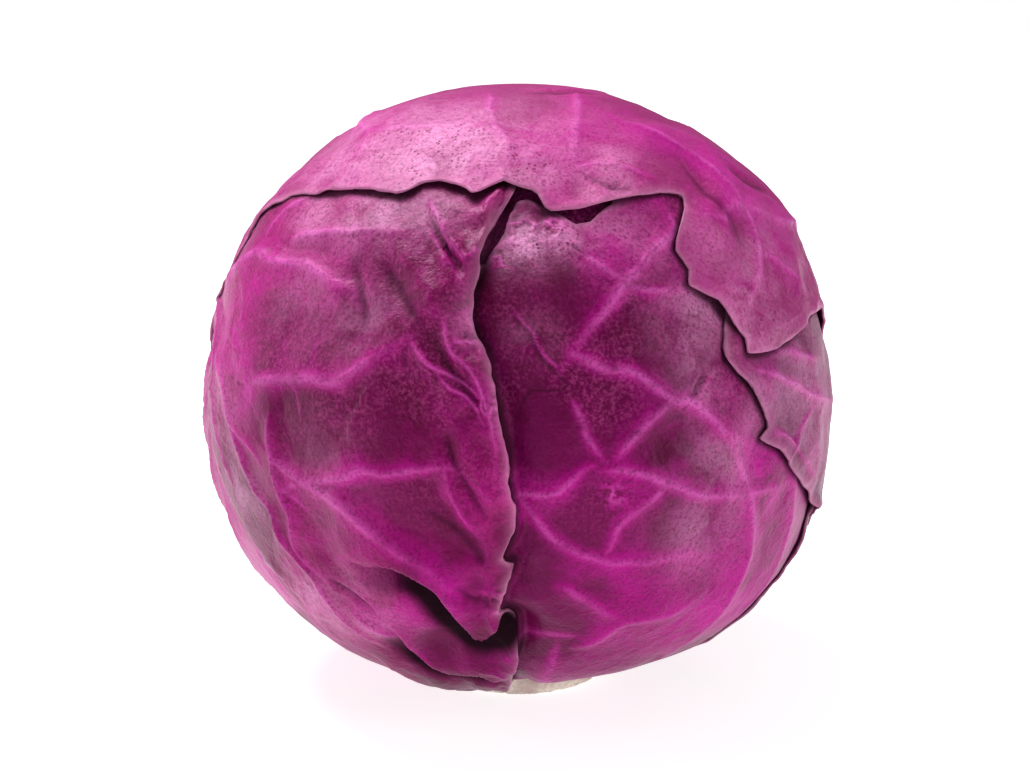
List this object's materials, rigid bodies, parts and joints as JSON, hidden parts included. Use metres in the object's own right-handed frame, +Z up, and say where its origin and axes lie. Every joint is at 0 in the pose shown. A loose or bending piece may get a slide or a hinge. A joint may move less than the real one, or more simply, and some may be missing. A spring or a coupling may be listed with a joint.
{
  "type": "red cabbage head",
  "caption": "Round red cabbage head wrapped in overlapping veined purple leaves, standing on its flat cut stem.",
  "frame": {"origin": "centre of the stem's flat cut face, which the head stands on", "axes": "+Z up through the head; -Y is the front, where the two wrapper leaves meet in a seam; +X is to the right seen from the front"},
  "size_m": [0.1656, 0.1639, 0.1581],
  "materials": {
    "cut_stem": "matte",
    "inner_leaves": "satin",
    "wine_leaf": "satin",
    "magenta_leaf": "satin",
    "dull_leaf": "matte",
    "crown_leaf": "satin"
  },
  "bodies": {
    "root": {"stem": "cut_stem", "heart": "inner_leaves", "left_back_leaf": "magenta_leaf", "right_wrapper_leaf": "magenta_leaf", "left_wrapper_leaf": "wine_leaf", "right_back_leaf": "dull_leaf", "right_side_leaf": "dull_leaf", "crown_leaf": "crown_leaf"}
  },
  "joints": []
}
